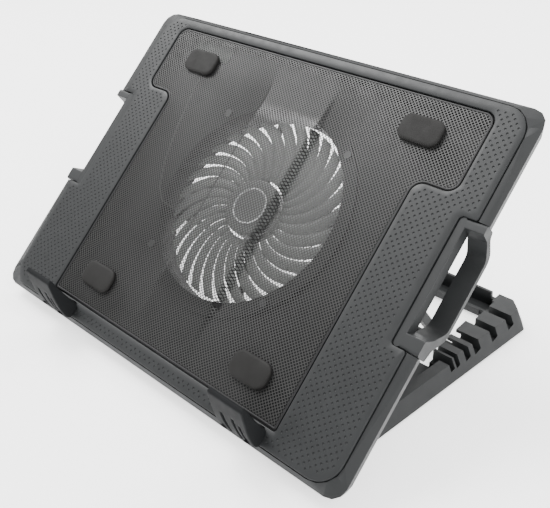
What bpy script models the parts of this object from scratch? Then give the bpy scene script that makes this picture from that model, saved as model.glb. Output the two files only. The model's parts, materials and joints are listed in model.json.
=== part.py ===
"""Laptop cooling pad: a tilting tray with one large fan, on a rack base with a swinging prop.

Units are metres, +Z is up, +X is the user's right and +Y points away from the user.
The pad stands open at its steepest setting. Tray pieces are drawn in the tray's own plane:
y = 0 is the front edge of the mesh panel and z = 0 is the top of the tray, and the empty
"tray_hinge" tilts them. Base pieces are drawn from the tray hinge axis.
"""
import math

import bmesh
import bpy
from mathutils import Matrix, Vector

MM = 0.001
GAP = 0.3 * MM                       # space kept between pieces that touch

# Stance
TILT = math.radians(40.0)            # tray angle at the steepest setting
HINGE_HEIGHT = 18 * MM               # hinge axis above the table
HINGE_Y = -83.95 * MM                # hinge axis in the world, which centres the object
HINGE_IN_TRAY = (14 * MM, -24 * MM)  # hinge axis in the tray's plane (y, z)

# Tray
TRAY_HALF = 192.8 * MM
TRAY_FRONT, TRAY_BACK = -17.6 * MM, 272.8 * MM
TRAY_BOTTOM = -14 * MM
BORDER_TOP = -1.2 * MM               # plain border round the dotted frame
FLOOR_THICK = 2.4 * MM
FRAME_HALF = 185 * MM
FRAME_FRONT, FRAME_BACK = -14 * MM, 269 * MM
FRAME_THICK = 2.4 * MM
STEP_FRONT, STEP_BACK = 88.5 * MM, 184.5 * MM   # where the frame steps in for a handle
STEP_HALF = 172.5 * MM
STRAP_INNER = 178.5 * MM
HANDLE_DROP = 30 * MM                # lowest face of a handle below the tray's top
STRAP = 4 * MM
MESH_WIDE, MESH_NARROW = 161 * MM, 129.3 * MM
MESH_STEP, MESH_BACK = 197.3 * MM, 260.1 * MM

# Fan
FAN_Y = 136 * MM
FAN_HOUSING_R = 86 * MM
FAN_TIP_R = 80 * MM
FAN_HUB_R = 24 * MM
FAN_BOTTOM = -34 * MM
HUB_TOP = -16.5 * MM
BLADES = 30
BLADE_SWEEP = math.radians(27)

# Front stops
STOP_WIDTH = 33 * MM
STOP_X = 108.5 * MM
STOP_HEIGHT = 40 * MM
EAR_OFFSET = 11 * MM                 # tray ears that carry a stop's pin, from its middle
STOP_AXIS = (-5 * MM, 4.5 * MM)      # hinge of a stop in the tray's plane (y, z)

# Prop
PROP_AXIS = (112.5 * MM, 6 * MM)     # prop pivot from the tray hinge, in the tray's plane (y, z)
PROP_X = 151.5 * MM
PROP_LENGTH = 106.1 * MM
PROP_LEAN = math.radians(54.8)       # prop below horizontal when the pad stands open
PEG_R = 3 * MM

# Base, from the hinge axis: y runs to the back and z up
BASE_BOTTOM = -16.2 * MM
BASE_BACK = 219 * MM
RACK_INNER = 157.5 * MM
RACK_FRONT = 117 * MM
GROOVE_FLOOR = -10 * MM
PLATE_TOP = -13.5 * MM
RAIL_TOP = -3 * MM


# ---------------------------------------------------------------- general helpers

def clear_scene():
    """Remove everything the file starts with."""
    for obj in list(bpy.data.objects):
        bpy.data.objects.remove(obj, do_unlink=True)
    for collection in list(bpy.data.collections):
        bpy.data.collections.remove(collection)


def make_collection(name):
    """Add a collection to the scene."""
    collection = bpy.data.collections.new(name)
    bpy.context.scene.collection.children.link(collection)
    return collection


clear_scene()
PARTS = make_collection("laptop_cooling_pad")
CUTTERS = make_collection("cutters")


def material(name, color, roughness, metallic=0.0):
    """Return a Principled material, made on first use."""
    found = bpy.data.materials.get(name)
    if found:
        return found
    made = bpy.data.materials.new(name)
    made.use_nodes = True
    shader = made.node_tree.nodes["Principled BSDF"]
    shader.inputs["Base Color"].default_value = (*color, 1.0)
    shader.inputs["Roughness"].default_value = roughness
    shader.inputs["Metallic"].default_value = metallic
    made.diffuse_color = (*color, 1.0)
    return made


def grey_plastic():
    return material("grey_plastic", (0.125, 0.130, 0.135), 0.55)


def dark_plastic():
    return material("dark_plastic", (0.030, 0.031, 0.033), 0.5)


def mesh_steel():
    return material("mesh_steel", (0.055, 0.057, 0.060), 0.45, 0.6)


def pad_rubber():
    return material("pad_rubber", (0.035, 0.035, 0.034), 0.85)


def fan_plastic():
    return material("fan_plastic", (0.42, 0.44, 0.45), 0.3)


def bright_steel():
    return material("bright_steel", (0.60, 0.60, 0.61), 0.3, 1.0)


def copper():
    return material("copper", (0.72, 0.36, 0.16), 0.35, 1.0)


def board_green():
    return material("board_green", (0.03, 0.16, 0.07), 0.5)


def empty(name, location, rotation=(0, 0, 0), parent=None):
    """Add an empty that stands for a joint axis."""
    made = bpy.data.objects.new(name, None)
    made.empty_display_size = 0.02
    made.location = location
    made.rotation_euler = rotation
    made.parent = parent
    PARTS.objects.link(made)
    return made


def add_object(name, mesh, finish, parent=None, location=(0, 0, 0), rotation=(0, 0, 0)):
    """Link a mesh as one sub-part, or as a hidden cutter when it has no finish."""
    made = bpy.data.objects.new(name, mesh)
    made.location = location
    made.rotation_euler = rotation
    made.parent = parent
    if finish is None:
        CUTTERS.objects.link(made)
        made.hide_render = True
        made.display_type = "WIRE"
    else:
        PARTS.objects.link(made)
        mesh.materials.append(finish)
    return made


def rounded(corners, steps=4):
    """Turn (x, y, radius) corners into an outline with round corners."""
    points = []
    count = len(corners)
    for index, (x, y, radius) in enumerate(corners):
        here = Vector((x, y))
        back = (Vector(corners[index - 1][:2]) - here).normalized()
        ahead = (Vector(corners[(index + 1) % count][:2]) - here).normalized()
        if radius <= 0:
            points.append(here)
            continue
        half = back.angle(ahead) / 2
        start = here + back * (radius / math.tan(half))
        end = here + ahead * (radius / math.tan(half))
        middle = here + (back + ahead).normalized() * (radius / math.sin(half))
        first, last = start - middle, end - middle
        turn = first.angle_signed(last)
        for step in range(steps + 1):
            share = -turn * step / steps
            spun = Matrix.Rotation(share, 2) @ first
            points.append(middle + spun)
    return points


def circle(radius, segments, x=0.0, y=0.0):
    """Return the points of a circle."""
    angles = [2 * math.pi * index / segments for index in range(segments)]
    return [Vector((x + radius * math.cos(a), y + radius * math.sin(a))) for a in angles]


def box_outline(x0, x1, y0, y1, radius=0.0, steps=3):
    """Return a rectangle, with round corners if a radius is given."""
    return rounded([(x0, y0, radius), (x1, y0, radius), (x1, y1, radius), (x0, y1, radius)], steps)


def plate_mesh(name, outlines, low, high):
    """Extrude flat outlines from low to high. The outlines inside the first are holes."""
    curve = bpy.data.curves.new(name, "CURVE")
    curve.dimensions = "2D"
    curve.fill_mode = "BOTH"
    curve.extrude = (high - low) / 2
    for outline in outlines:
        spline = curve.splines.new("POLY")
        spline.points.add(len(outline) - 1)
        for point, place in zip(spline.points, outline):
            point.co = (place[0], place[1], 0.0, 1.0)
        spline.use_cyclic_u = True
    holder = bpy.data.objects.new(name + "_outline", curve)
    CUTTERS.objects.link(holder)
    graph = bpy.context.evaluated_depsgraph_get()
    mesh = bpy.data.meshes.new_from_object(holder.evaluated_get(graph))
    bpy.data.objects.remove(holder, do_unlink=True)
    bpy.data.curves.remove(curve)
    mesh.name = name
    work = bmesh.new()
    work.from_mesh(mesh)
    bmesh.ops.remove_doubles(work, verts=work.verts, dist=0.000005)
    bmesh.ops.translate(work, verts=work.verts, vec=(0, 0, (low + high) / 2))
    bmesh.ops.recalc_face_normals(work, faces=work.faces)
    work.to_mesh(mesh)
    work.free()
    return mesh


def plate(name, outlines, low, high, finish=None, parent=None, location=(0, 0, 0)):
    """Add a plate lying in the XY plane."""
    return add_object(name, plate_mesh(name, outlines, low, high), finish, parent, location)


def profile(name, outlines, left, right, finish=None, parent=None, location=(0, 0, 0)):
    """Add a (y, z) outline extruded along X from left to right."""
    mesh = plate_mesh(name, outlines, left, right)
    turn = Matrix(((0, 0, 1, 0), (1, 0, 0, 0), (0, 1, 0, 0), (0, 0, 0, 1)))
    mesh.transform(turn)
    return add_object(name, mesh, finish, parent, location)


def box(name, size, center, finish=None, parent=None, location=(0, 0, 0)):
    """Add a box of the given size about its centre."""
    mesh = bpy.data.meshes.new(name)
    work = bmesh.new()
    bmesh.ops.create_cube(work, size=1.0)
    bmesh.ops.scale(work, vec=size, verts=work.verts)
    bmesh.ops.translate(work, vec=center, verts=work.verts)
    work.to_mesh(mesh)
    work.free()
    return add_object(name, mesh, finish, parent, location)


def rod(name, radius, start, end, finish=None, parent=None, location=(0, 0, 0), segments=16):
    """Add a round bar between two points, smooth along its side."""
    start, end = Vector(start), Vector(end)
    mesh = bpy.data.meshes.new(name)
    work = bmesh.new()
    bmesh.ops.create_cone(work, cap_ends=True, segments=segments, radius1=radius,
                          radius2=radius, depth=(end - start).length)
    turn = Vector((0, 0, 1)).rotation_difference(end - start).to_matrix().to_4x4()
    bmesh.ops.transform(work, matrix=Matrix.Translation((start + end) / 2) @ turn,
                        verts=work.verts)
    work.to_mesh(mesh)
    work.free()
    mesh.shade_smooth()
    mesh.set_sharp_from_angle(angle=math.radians(40))
    return add_object(name, mesh, finish, parent, location)


def cut(target, *cutters, operation="DIFFERENCE"):
    """Apply other objects to a target with exact booleans."""
    for cutter in cutters:
        step = target.modifiers.new(operation.lower(), "BOOLEAN")
        step.operation = operation
        step.solver = "EXACT"
        step.object = cutter


def join(target, *pieces):
    """Union hidden pieces with a target."""
    cut(target, *pieces, operation="UNION")


def bevel(target, width, segments=2, angle=50):
    """Round the sharp edges of a target."""
    step = target.modifiers.new("bevel", "BEVEL")
    step.width = width
    step.segments = segments
    step.limit_method = "ANGLE"
    step.angle_limit = math.radians(angle)


# ---------------------------------------------------------------- joint axes

tray_hinge = empty("tray_hinge", (0, HINGE_Y, HINGE_HEIGHT), (TILT, 0, 0))
base_origin = empty("base_origin", (0, HINGE_Y, HINGE_HEIGHT))
tray_plane = empty("tray_plane", (0, -HINGE_IN_TRAY[0], -HINGE_IN_TRAY[1]), parent=tray_hinge)
fan_axis = empty("fan_axis", (0, FAN_Y, 0), parent=tray_plane)
prop_pivot = empty("prop_pivot", (0, *PROP_AXIS), (-TILT - PROP_LEAN, 0, 0), parent=tray_hinge)


# ---------------------------------------------------------------- tray

def tray_outline():
    """Return the tray's outline without its side notches."""
    return box_outline(-TRAY_HALF, TRAY_HALF, TRAY_FRONT, TRAY_BACK, 12 * MM)


def frame_outline(grow=0.0):
    """Return the dotted frame's outline, stepped in beside the handles."""
    half = FRAME_HALF + grow
    step = STEP_HALF + grow
    front, back = FRAME_FRONT - grow, FRAME_BACK + grow
    right = [(half, front, 20 * MM), (half, STEP_FRONT + grow, 2 * MM),
             (step, STEP_FRONT + grow, 3 * MM), (step, STEP_BACK - grow, 3 * MM),
             (half, STEP_BACK - grow, 2 * MM), (half, back, 20 * MM)]
    left = [(-x, y, radius) for x, y, radius in reversed(right)]
    return rounded(right + left)


def mesh_outline(grow=0.0):
    """Return the mesh panel's outline: narrow in front and wide at the back."""
    wide, narrow = MESH_WIDE + grow, MESH_NARROW + grow
    right = [(narrow, -grow, 2 * MM), (narrow, MESH_STEP - grow, 8 * MM),
             (wide, MESH_STEP - grow, 9 * MM), (wide, MESH_BACK + grow, 9 * MM)]
    left = [(-x, y, radius) for x, y, radius in reversed(right)]
    return rounded(right + left)


def screw_places():
    """Return where the case screws sit."""
    return [(x * MM, y * MM) for y in (20, 205) for x in (-178, 178)] + \
           [(x * MM, 263 * MM) for x in (-60, 60)]


def fan_screw_places():
    """Return where the fan's four screws sit, round the fan axis."""
    angles = [math.radians(45 + 90 * index) for index in range(4)]
    return [(90.5 * MM * math.cos(a), FAN_Y + 90.5 * MM * math.sin(a)) for a in angles]


def hinge_lugs():
    """Return the x spans of the tray's hinge lugs."""
    return [(-142 * MM, -130 * MM), (130 * MM, 142 * MM)]


def prop_lugs():
    """Return the x spans of the lugs that hold the prop's pins, two at each arm."""
    inner = [(PROP_X - 11 * MM, PROP_X - 4 * MM), (PROP_X + 4 * MM, PROP_X + 11 * MM)]
    return inner + [(-b, -a) for a, b in inner]


def make_tray_shell():
    """Make the lower shell: floor, rim, the sloping border and the lugs under it."""
    floor_top = TRAY_BOTTOM + FLOOR_THICK
    shell = plate("tray_shell", [tray_outline()], TRAY_BOTTOM, BORDER_TOP, grey_plastic(), tray_plane)
    ledge_top = -FRAME_THICK - GAP
    for side, sign in (("left", -1), ("right", 1)):
        near, far = sorted((sign * (STEP_HALF - GAP), sign * (TRAY_HALF + 9 * MM)))
        notch = box_outline(near, far, STEP_FRONT - 2.5 * GAP, STEP_BACK + 2.5 * GAP, 3 * MM)
        cut(shell, plate(f"handle_notch_{side}", [notch], TRAY_BOTTOM - 6 * MM, 10 * MM, None,
                         tray_plane))
    cut(shell, plate("frame_pocket", [frame_outline(GAP)], ledge_top, 10 * MM, None, tray_plane))
    cavity = box_outline(-169 * MM, 169 * MM, -10 * MM, 257 * MM, 10 * MM)
    cut(shell, plate("shell_cavity", [cavity], floor_top, 9 * MM, None, tray_plane))
    cut(shell, rod("fan_opening", FAN_HOUSING_R + 1 * MM, (0, FAN_Y, TRAY_BOTTOM - 2 * MM),
                   (0, FAN_Y, 8 * MM), None, tray_plane, segments=48))
    for index, (left, right) in enumerate(hinge_lugs()):
        outline = rounded([(6 * MM, -31 * MM, 6.5 * MM), (22 * MM, -31 * MM, 6.5 * MM),
                           (26 * MM, -13 * MM, 0), (2 * MM, -13 * MM, 0)])
        join(shell, profile(f"hinge_lug_{index}", [outline], left, right, None, tray_plane))
    pivot_y = PROP_AXIS[0] + HINGE_IN_TRAY[0]
    pivot_z = PROP_AXIS[1] + HINGE_IN_TRAY[1]
    for index, (left, right) in enumerate(prop_lugs()):
        outline = rounded([(pivot_y - 5.5 * MM, pivot_z - 5 * MM, 5 * MM),
                           (pivot_y + 5.5 * MM, pivot_z - 5 * MM, 5 * MM),
                           (pivot_y + 8 * MM, -13 * MM, 0), (pivot_y - 8 * MM, -13 * MM, 0)])
        join(shell, profile(f"prop_lug_{index}", [outline], left, right, None, tray_plane))
    bore_y, bore_z = HINGE_IN_TRAY
    cut(shell, rod("hinge_bore", 3.3 * MM, (-160 * MM, bore_y, bore_z),
                   (160 * MM, bore_y, bore_z), None, tray_plane))
    cut(shell, rod("prop_bore", 2.3 * MM, (-170 * MM, pivot_y, pivot_z),
                   (170 * MM, pivot_y, pivot_z), None, tray_plane))
    for index, (x, y) in enumerate(fan_screw_places()):
        cut(shell, rod(f"fan_screw_bore_{index}", 1.9 * MM, (x, y, TRAY_BOTTOM - 1 * MM),
                       (x, y, floor_top + 1 * MM), None, tray_plane, segments=10))
    for index, (x, y) in enumerate(screw_places()):
        cut(shell, rod(f"case_screw_bore_{index}", 1.9 * MM, (x, y, TRAY_BOTTOM - 1 * MM),
                       (x, y, -2 * MM), None, tray_plane, segments=10))
        cut(shell, rod(f"case_screw_sink_{index}", 3.6 * MM, (x, y, TRAY_BOTTOM - 1 * MM),
                       (x, y, TRAY_BOTTOM + 2.6 * MM), None, tray_plane, segments=12))
    port = box("port_cut", (60 * MM, 18 * MM, 7.6 * MM), (-120 * MM, 265 * MM, -6.9 * MM),
               None, tray_plane)
    cut(shell, port)
    return shell


def make_top_frame():
    """Make the dotted frame that surrounds the mesh panel."""
    return plate("top_frame", [frame_outline(), mesh_outline(GAP)], -FRAME_THICK, 0,
                 grey_plastic(), tray_plane)


def make_mesh_panel():
    """Make the perforated panel as one plain sheet, on the ledge round it."""
    sheet = plate("mesh_panel", [mesh_outline()], -1.6 * MM, -0.6 * MM, mesh_steel(), tray_plane)
    return sheet


def make_pads():
    """Make the four rubber pads that a laptop rests on."""
    places = {"rear": (114.5 * MM, 232.5 * MM), "front": (88.5 * MM, 26.5 * MM)}
    for row, (x, y) in places.items():
        for side, sign in (("left", -1), ("right", 1)):
            outline = box_outline(sign * x - 17.5 * MM, sign * x + 17.5 * MM,
                                  y - 10.5 * MM, y + 10.5 * MM, 7.5 * MM, 4)
            pad = plate(f"rubber_pad_{row}_{side}", [outline], -0.3 * MM, 3 * MM, pad_rubber(),
                        tray_plane)
            bevel(pad, 0.9 * MM, 1)


def make_handles():
    """Make each side handle: a border strip with a strap hung below it."""
    low = -HANDLE_DROP
    front, back = STEP_FRONT + GAP, STEP_BACK - GAP
    top = BORDER_TOP
    outside = [(front, top, 2 * MM), (front, -14 * MM, 2 * MM), (97 * MM, -17 * MM, 8 * MM),
               (109 * MM, low, 11 * MM), (172 * MM, low, 11 * MM), (180 * MM, -15 * MM, 8 * MM),
               (back, -12 * MM, 1 * MM), (back, top, 2 * MM)]
    inside = [(178 * MM, top, 0.8 * MM), (177 * MM, -12 * MM, 8 * MM),
              (168 * MM, low + STRAP, 8 * MM), (113 * MM, low + STRAP, 8 * MM),
              (103 * MM, -12 * MM, 8 * MM), (99 * MM, top, 0.8 * MM)]
    loop = rounded(outside + inside, 5)
    for side, sign in (("left", -1), ("right", 1)):
        near, far = sorted((sign * (STRAP_INNER - 0.5 * MM), sign * TRAY_HALF))
        handle = profile(f"side_handle_{side}", [loop], near, far, grey_plastic(), tray_plane)
        inner, outer = sorted((sign * (STEP_HALF + GAP), sign * STRAP_INNER))
        strip = box_outline(inner, outer, front, back, 3 * MM)
        join(handle, plate(f"handle_strip_{side}", [strip], -12 * MM, top - 0.1 * MM, None,
                           tray_plane))


# ---------------------------------------------------------------- fan

def make_fan_housing():
    """Make the fan's ring, its mounting flange and the motor plate on four struts."""
    flange_low = TRAY_BOTTOM + FLOOR_THICK + GAP
    flange_top = flange_low + 2 * MM
    inner = FAN_HOUSING_R - 2.4 * MM
    housing = plate("fan_housing", [circle(FAN_HOUSING_R, 48), circle(inner, 48)],
                    FAN_BOTTOM, flange_top - 0.4 * MM, dark_plastic(), fan_axis)
    flange = plate("fan_flange", [circle(95 * MM, 48), circle(inner + 0.6 * MM, 48)],
                   flange_low, flange_top, None, fan_axis)
    plate_low = FAN_BOTTOM + 0.2 * MM
    motor_plate = plate("motor_plate", [circle(24 * MM, 32)], plate_low, plate_low + 2.3 * MM,
                        None, fan_axis)
    join(housing, flange, motor_plate)
    reach = 85 * MM
    for index in range(4):
        angle = math.radians(20 + 90 * index)
        strut = box(f"fan_strut_{index}", (reach - 20 * MM, 5 * MM, 1.7 * MM),
                    ((reach + 20 * MM) / 2, 0, plate_low + 1.15 * MM), None, fan_axis)
        strut.rotation_euler = (0, 0, angle)
        join(housing, strut)
    for index, (x, y) in enumerate(fan_screw_places()):
        cut(housing, rod(f"flange_bore_{index}", 1.9 * MM, (x, y - FAN_Y, flange_low - 1 * MM),
                         (x, y - FAN_Y, flange_top + 1 * MM), None, fan_axis, segments=10))
    return flange_top


def blade_ring_outline():
    """Return the outline of a disc cut by swept slots, which leave the blades."""
    points = []
    pitch = 2 * math.pi / BLADES
    slot_root, slot_steps = 33 * MM, 4
    for index in range(BLADES):
        base = pitch * index
        radii = [slot_root + (FAN_TIP_R - slot_root) * step / slot_steps
                 for step in range(slot_steps + 1)]
        edges = []
        for radius in radii:
            share = (radius - slot_root) / (FAN_TIP_R - slot_root)
            middle = base + BLADE_SWEEP * share ** 1.3
            half = pitch * (0.04 + 0.14 * share)
            edges.append((radius, middle - half, middle + half))
        for radius, before, _ in reversed(edges):
            points.append(Vector((radius * math.cos(before), radius * math.sin(before))))
        for radius, _, after in edges:
            points.append(Vector((radius * math.cos(after), radius * math.sin(after))))
        tip = edges[-1][2] + pitch * 0.32
        points.append(Vector((FAN_TIP_R * math.cos(tip), FAN_TIP_R * math.sin(tip))))
    return points


def make_rotor():
    """Make the fan's turning pieces: blades with their hub, magnet, shaft and cap."""
    rotor = plate("fan_rotor", [blade_ring_outline()], -27 * MM, -21 * MM, fan_plastic(),
                  fan_axis)
    hub = rod("rotor_hub", FAN_HUB_R, (0, 0, -30 * MM), (0, 0, HUB_TOP), None, fan_axis,
              segments=32)
    join(rotor, hub)
    cut(rotor, rod("hub_hollow", FAN_HUB_R - 2 * MM, (0, 0, -31 * MM),
                   (0, 0, HUB_TOP - 2 * MM), None, fan_axis, segments=32))
    plate("rotor_magnet", [circle(21.5 * MM, 32), circle(18.5 * MM, 32)], -29.5 * MM,
          -19 * MM, dark_plastic(), fan_axis)
    rod("fan_shaft", 1.5 * MM, (0, 0, -30.5 * MM), (0, 0, HUB_TOP - 2.3 * MM),
        bright_steel(), fan_axis, segments=12)
    rod("fan_hub_cap", 14.5 * MM, (0, 0, HUB_TOP + GAP), (0, 0, HUB_TOP + 1.1 * MM),
        fan_plastic(), fan_axis, segments=32)


def make_motor():
    """Make the motor's fixed pieces: circuit board, stator and bearing."""
    board_low = FAN_BOTTOM + 2.8 * MM
    plate("motor_board", [circle(17 * MM, 24), circle(4.6 * MM, 12)], board_low,
          board_low + 0.6 * MM, board_green(), fan_axis)
    plate("motor_stator", [circle(16 * MM, 24), circle(4.6 * MM, 12)], -29.5 * MM, -21 * MM,
          copper(), fan_axis)
    plate("fan_bearing", [circle(4.2 * MM, 16), circle(1.8 * MM, 12)], board_low, -20 * MM,
          bright_steel(), fan_axis)


def make_screws(flange_top):
    """Make the four fan screws and the six case screws, one node each."""
    for index, (x, y) in enumerate(fan_screw_places(), 1):
        screw = rod(f"fan_screw_{index}", 1.5 * MM, (x, y, TRAY_BOTTOM + 0.4 * MM),
                    (x, y, flange_top + 1 * MM), bright_steel(), tray_plane, segments=10)
        join(screw, rod(f"fan_screw_head_{index}", 3.2 * MM, (x, y, flange_top + GAP),
                        (x, y, flange_top + 2 * MM), None, tray_plane, segments=12))
    for index, (x, y) in enumerate(screw_places(), 1):
        screw = rod(f"case_screw_{index}", 1.5 * MM, (x, y, TRAY_BOTTOM + 1 * MM),
                    (x, y, -4 * MM), bright_steel(), tray_plane, segments=10)
        join(screw, rod(f"case_screw_head_{index}", 3.2 * MM, (x, y, TRAY_BOTTOM + 0.5 * MM),
                        (x, y, TRAY_BOTTOM + 2.3 * MM), None, tray_plane, segments=12))


def make_usb_hub():
    """Make the two-port USB board in the back rim and the lead from it to the motor."""
    board_z = TRAY_BOTTOM + FLOOR_THICK + 0.6 * MM
    box("usb_board", (44 * MM, 14 * MM, 1.2 * MM), (-120 * MM, 249 * MM, board_z + 0.6 * MM),
        board_green(), tray_plane)
    for index, x in enumerate((-132 * MM, -108 * MM), 1):
        low = board_z + 1.5 * MM
        outer = box_outline(x - 6.6 * MM, x + 6.6 * MM, low, low + 5.6 * MM)
        mesh = plate_mesh(f"usb_socket_{index}", [outer], 0, 14.5 * MM)
        turn = Matrix(((1, 0, 0, 0), (0, 0, -1, 0), (0, 1, 0, 0), (0, 0, 0, 1)))
        mesh.transform(Matrix.Translation((0, 271.5 * MM, 0)) @ turn)
        socket = add_object(f"usb_socket_{index}", mesh, bright_steel(), tray_plane)
        cut(socket, box(f"socket_mouth_{index}", (12.2 * MM, 12 * MM, 4.6 * MM),
                        (x, 266 * MM, low + 2.8 * MM), None, tray_plane))
    make_lead()


def make_lead():
    """Make the thin lead that runs from the motor plate to the USB board."""
    route = [Vector(place) * MM for place in (
        (-17.8, 129.5, -30.8), (-50, 117.8, -30.8), (-75, 108.7, -30.8), (-76.9, 108, -28.9),
        (-76.9, 108, -8.5), (-78.5, 108.6, -6.5), (-88, 118, -5.8), (-98, 140, -5.6),
        (-106, 170, -5.6), (-112, 205, -6), (-116, 232, -8.2), (-117, 241.4, -8.8))]
    curve = bpy.data.curves.new("fan_lead", "CURVE")
    curve.dimensions = "3D"
    curve.bevel_depth = 0.6 * MM
    curve.bevel_resolution = 1
    curve.use_fill_caps = True
    spline = curve.splines.new("POLY")
    spline.points.add(len(route) - 1)
    for point, place in zip(spline.points, route):
        point.co = (*place, 1.0)
    lead = bpy.data.objects.new("fan_lead", curve)
    lead.parent = tray_plane
    PARTS.objects.link(lead)
    curve.materials.append(dark_plastic())


# ---------------------------------------------------------------- front stops

def make_stops():
    """Make the two flip-up stops, each on its own hinge axis with a pin and two ears."""
    axis_y, axis_z = STOP_AXIS
    top = STOP_HEIGHT - axis_z
    body = rounded([(-10 * MM, -4 * MM, 2 * MM), (4 * MM, -4 * MM, 4 * MM),
                    (4.2 * MM, 8 * MM, 10 * MM), (11 * MM, top, 1.5 * MM),
                    (6.5 * MM, top, 1 * MM), (-4 * MM, 17 * MM, 14 * MM),
                    (-10 * MM, 2 * MM, 2 * MM)], 4)
    for side, sign in (("left", -1), ("right", 1)):
        axis = empty(f"stop_hinge_{side}", (sign * STOP_X, axis_y, axis_z), parent=tray_plane)
        stop = profile(f"front_stop_{side}", [body], -STOP_WIDTH / 2, STOP_WIDTH / 2,
                       dark_plastic(), axis)
        cut(stop, rod(f"stop_bore_{side}", 1.8 * MM, (-20 * MM, 0, 0), (20 * MM, 0, 0), None,
                      axis, segments=12))
        for offset in (-EAR_OFFSET, EAR_OFFSET):
            cut(stop, box(f"ear_slot_{side}_{offset:.3f}", (4 * MM, 30 * MM, 20 * MM),
                          (offset, 0, -4.5 * MM), None, axis))
        pin_end = STOP_WIDTH / 2 - 1 * MM
        rod(f"stop_pin_{side}", 1.5 * MM, (-pin_end, 0, 0), (pin_end, 0, 0), bright_steel(),
            axis, segments=12)
        ear = rounded([(axis_y - 4 * MM, 0.3 * MM, 0), (axis_y + 4 * MM, 0.3 * MM, 0),
                       (axis_y + 4 * MM, axis_z + 3.6 * MM, 3.5 * MM),
                       (axis_y - 4 * MM, axis_z + 3.6 * MM, 3.5 * MM)])
        for place, offset in (("inner", -sign), ("outer", sign)):
            middle = sign * STOP_X + offset * EAR_OFFSET
            lug = profile(f"stop_ear_{side}_{place}", [ear], middle - 1.5 * MM,
                          middle + 1.5 * MM, dark_plastic(), tray_plane)
            cut(lug, rod(f"ear_bore_{side}_{place}", 1.8 * MM, (middle - 3 * MM, axis_y, axis_z),
                         (middle + 3 * MM, axis_y, axis_z), None, tray_plane, segments=12))


# ---------------------------------------------------------------- prop

def make_prop():
    """Make the U-shaped prop, drawn along +Y from its pivot, and its two pivot pins."""
    arm = 5 * MM
    half_wide = 3.6 * MM
    left, right = PROP_X - arm / 2, PROP_X + arm / 2
    outline = rounded([(-half_wide, -half_wide, 3.5 * MM),
                       (PROP_LENGTH + half_wide, -half_wide, 3.5 * MM),
                       (PROP_LENGTH + half_wide, half_wide, 3.5 * MM),
                       (-half_wide, half_wide, 3.5 * MM)], 4)
    prop = profile("prop_leg", [outline], left, right, grey_plastic(), prop_pivot)
    other = profile("prop_arm_left", [outline], -right, -left, None, prop_pivot)
    foot = rod("prop_foot_bar", PEG_R, (-161 * MM, PROP_LENGTH, 0), (161 * MM, PROP_LENGTH, 0),
               None, prop_pivot, segments=12)
    join(prop, other, foot)
    cut(prop, rod("prop_pin_bore", 2.3 * MM, (-170 * MM, 0, 0), (170 * MM, 0, 0), None,
                  prop_pivot))
    pivot_y = PROP_AXIS[0] + HINGE_IN_TRAY[0]
    pivot_z = PROP_AXIS[1] + HINGE_IN_TRAY[1]
    for side, sign in (("left", -1), ("right", 1)):
        rod(f"prop_pin_{side}", 2 * MM, (sign * (PROP_X - 11 * MM), pivot_y, pivot_z),
            (sign * (PROP_X + 11 * MM), pivot_y, pivot_z), bright_steel(), tray_plane)


# ---------------------------------------------------------------- base

def half_width(y):
    """Return the base's half width at its bottom, y behind the hinge axis."""
    return 168.5 * MM + y * (191.5 - 168.5) / 217


def base_outline(inset):
    """Return the base's outline, drawn in as the side walls slope."""
    back = BASE_BACK - inset * 0.4
    right = [(half_width(0) - 10 * MM - inset, -9 * MM, 6 * MM),
             (half_width(4 * MM) - inset, 4 * MM, 8 * MM),
             (half_width(206 * MM) - inset, 206 * MM, 3 * MM),
             (half_width(206 * MM) - 10 * MM - inset, back, 3 * MM)]
    left = [(-x, y, radius) for x, y, radius in reversed(right)]
    return rounded(right + left, 3)


def loft_walls(name, low_outline, low, high_outline, high, finish, parent):
    """Add a solid between two outlines with the same number of points."""
    mesh = bpy.data.meshes.new(name)
    work = bmesh.new()
    lower = [work.verts.new((x, y, low)) for x, y in low_outline]
    upper = [work.verts.new((x, y, high)) for x, y in high_outline]
    count = len(lower)
    for index in range(count):
        after = (index + 1) % count
        work.faces.new((lower[index], lower[after], upper[after], upper[index]))
    work.faces.new(upper)
    work.faces.new(lower[::-1])
    bmesh.ops.recalc_face_normals(work, faces=work.faces)
    work.to_mesh(mesh)
    work.free()
    return add_object(name, mesh, finish, parent)


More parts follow.
